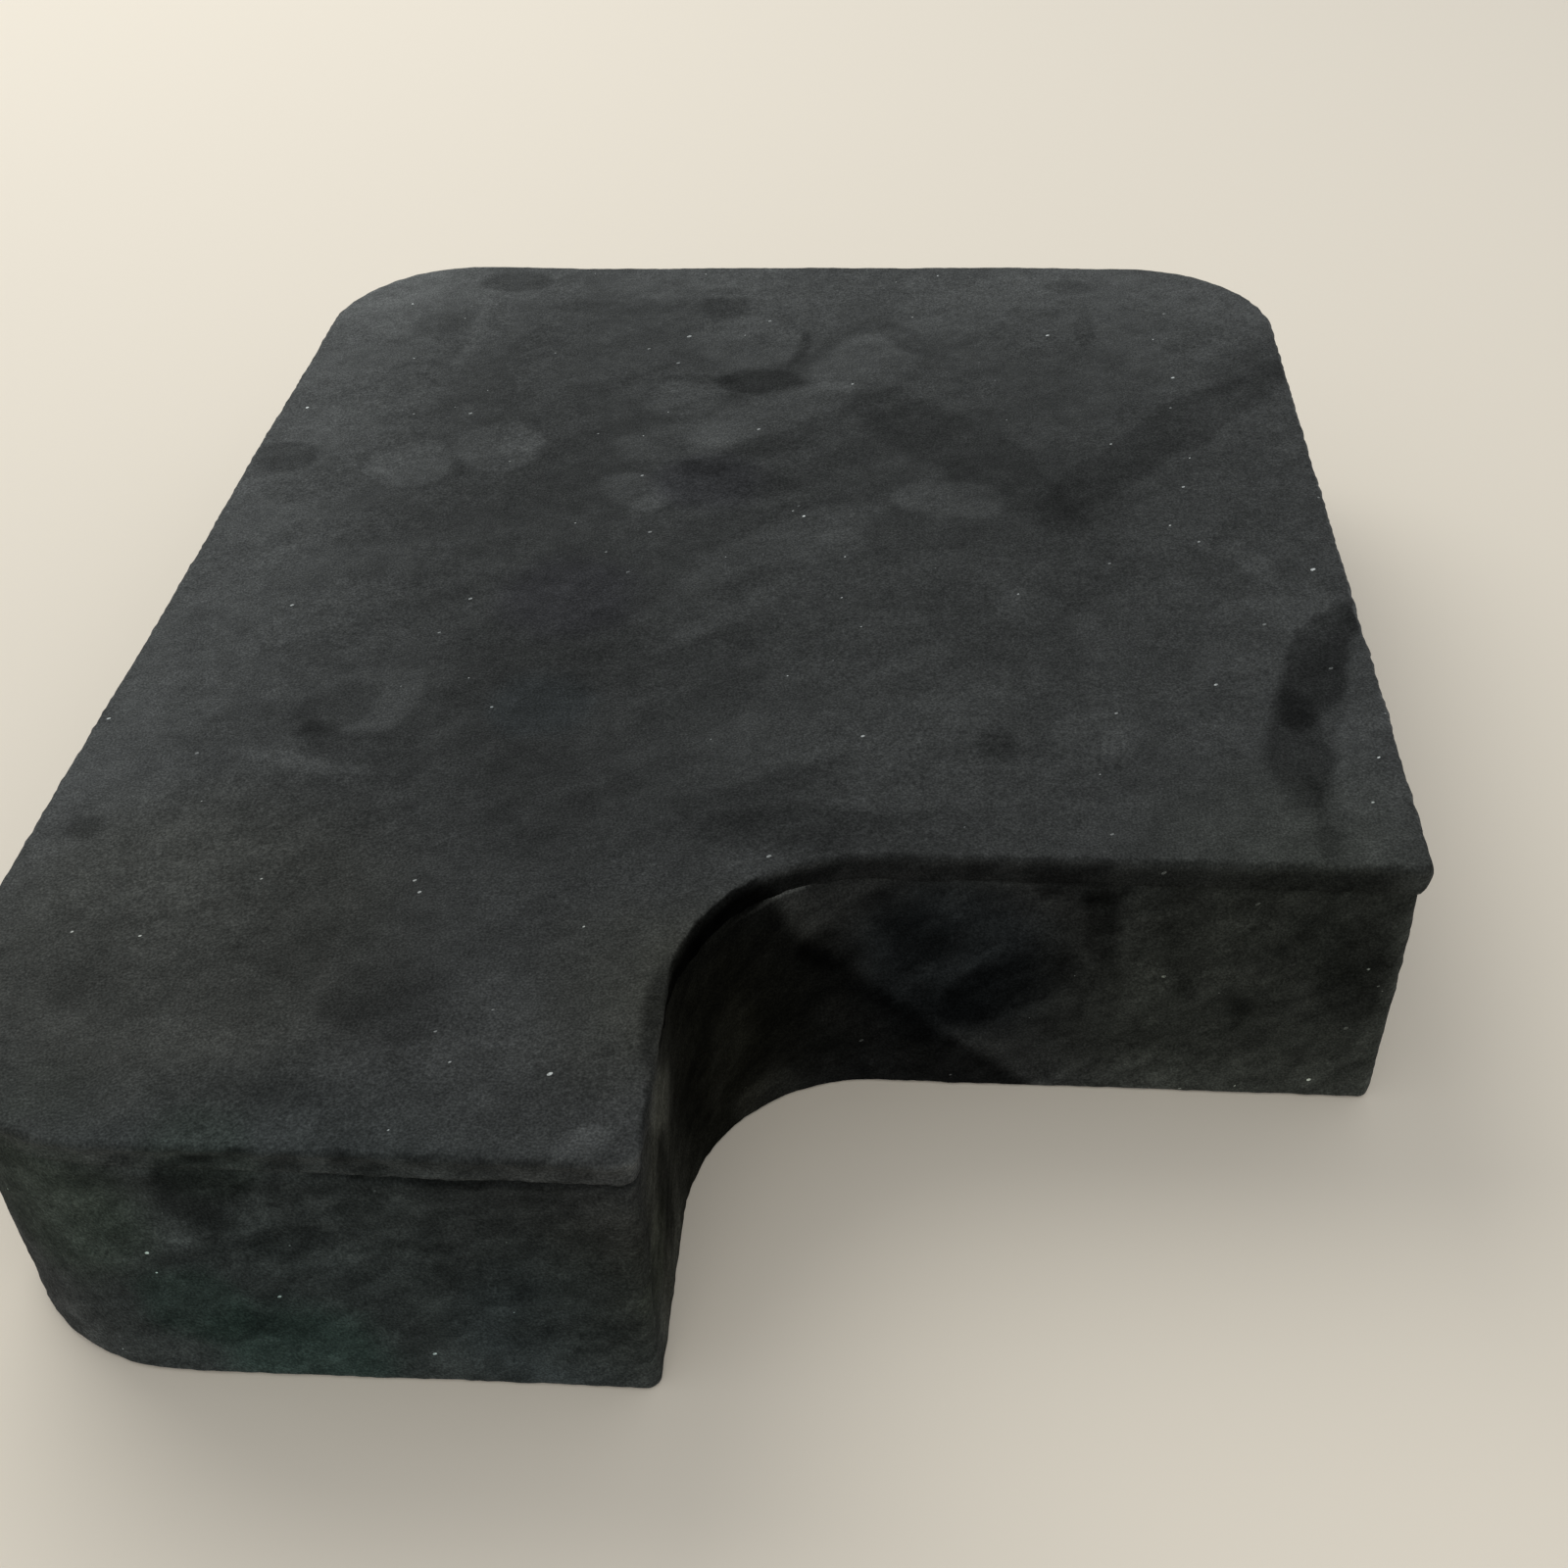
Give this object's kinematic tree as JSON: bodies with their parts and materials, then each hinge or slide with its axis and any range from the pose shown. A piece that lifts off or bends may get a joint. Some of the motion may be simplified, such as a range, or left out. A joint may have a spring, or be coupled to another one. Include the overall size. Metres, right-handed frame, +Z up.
{
  "type": "foam block",
  "caption": "Low rectangular foam block covered in black velvet, with rounded corners, a lip round its top edge and one corner cut away as a coved notch.",
  "frame": {"origin": "middle of the overall footprint, on the underside", "axes": "+Z up through the block's thickness, +Y along its length towards the plain rear end, +X across it towards the side that the notch cuts"},
  "size_m": [0.212, 0.272, 0.051],
  "materials": {
    "foam": "closed-cell foam, matt",
    "velvet_side": "short-pile velvet",
    "velvet_top": "short-pile velvet",
    "velvet_base": "short-pile velvet"
  },
  "bodies": {
    "root": {"foam_core": "foam", "side_band": "velvet_side", "top_cover": "velvet_top", "base_sheet": "velvet_base"}
  },
  "joints": []
}
